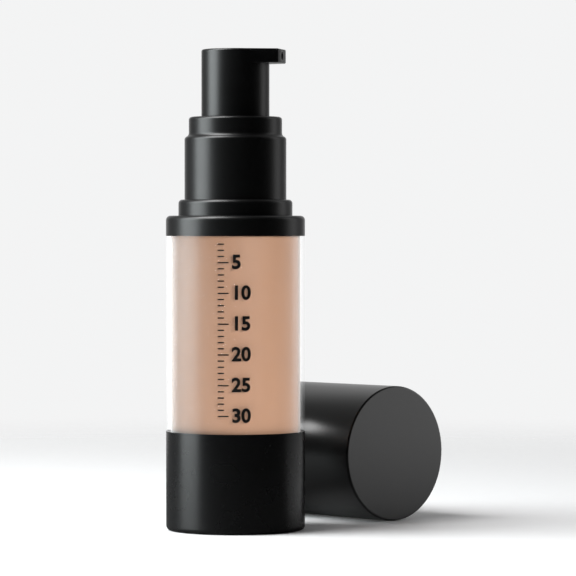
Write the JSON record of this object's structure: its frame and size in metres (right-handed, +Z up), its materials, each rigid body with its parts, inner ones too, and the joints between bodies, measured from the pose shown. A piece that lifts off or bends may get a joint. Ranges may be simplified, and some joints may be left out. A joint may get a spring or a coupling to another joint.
{
  "type": "foundation bottle",
  "caption": "Round double-walled airless pump bottle for liquid foundation, with a clear body over a tan fill, a black pump with a short side spout, and its push-on cap lying beside it.",
  "frame": {"origin": "centre of the base cup's flat underside, on the surface the bottle stands on", "axes": "+Z up along the bottle's axis, +X the way the spout points, the cap lies on the +Y side"},
  "size_m": [0.0569, 0.0867, 0.114],
  "materials": {
    "black_satin": "fine satin black moulding with soft highlights",
    "clear_jacket": "polished clear wall",
    "natural_pp": "translucent uncoloured moulding",
    "white_pe": "waxy soft white moulding",
    "white_pp": "satin white moulding",
    "foam_washer": "fine-celled soft foam",
    "foundation_cream": "smooth tan cream",
    "polished_steel": "polished ball",
    "spring_steel": "drawn wire",
    "black_insert": "satin dark grey moulding",
    "black_liner": "unpolished black moulding"
  },
  "bodies": {
    "bottle": {"base_cup": "black_satin", "outer_jacket": "clear_jacket", "inner_bottle": "natural_pp", "bottle_plug": "natural_pp", "foundation": "foundation_cream", "shoulder": "black_satin", "pump_collar": "black_satin", "neck_closure": "white_pp", "neck_gasket": "foam_washer", "pump_housing": "natural_pp", "valve_cage": "natural_pp", "stem_guide": "white_pp", "pump_spring": "spring_steel"},
    "follower": {"follower_piston": "white_pe"},
    "ball": {"inlet_ball": "polished_steel"},
    "plunger": {"stem": "white_pp", "stem_plug": "white_pp"},
    "piston": {"pump_piston": "white_pe"},
    "head": {"actuator": "black_satin", "nozzle_insert": "black_insert"},
    "cap": {"cap_shell": "black_satin", "cap_liner": "black_liner"}
  },
  "joints": [
    {"name": "pump_stroke", "type": "slide", "parent": "bottle", "child": "plunger", "axis": [0, 0, -1], "range_m": [0, 0.004], "stiffness_N_per_m": 1500, "springref_m": -0.006, "deforming": ["pump_spring"]},
    {"name": "piston_lag", "type": "slide", "parent": "plunger", "child": "piston", "axis": [0, 0, 1], "range_m": [0, 0.0008]},
    {"name": "head_turn", "type": "hinge", "parent": "plunger", "child": "head", "pos_m": [0, 0, 0.1], "axis": [0, 0, 1], "continuous": true},
    {"name": "ball_lift", "type": "slide", "parent": "bottle", "child": "ball", "axis": [0, 0, 1], "range_m": [0, 0.0008]},
    {"name": "follower_rise", "type": "slide", "parent": "bottle", "child": "follower", "axis": [0, 0, 1], "range_m": [0, 0.048], "deforming": ["foundation"]},
    {"name": "cap_tip", "type": "hinge", "parent": "bottle", "child": "cap", "pos_m": [-0.00545, 0.05638, 0], "axis": [-0.5358, -0.8443, 0], "range_deg": [0, 90]}
  ]
}
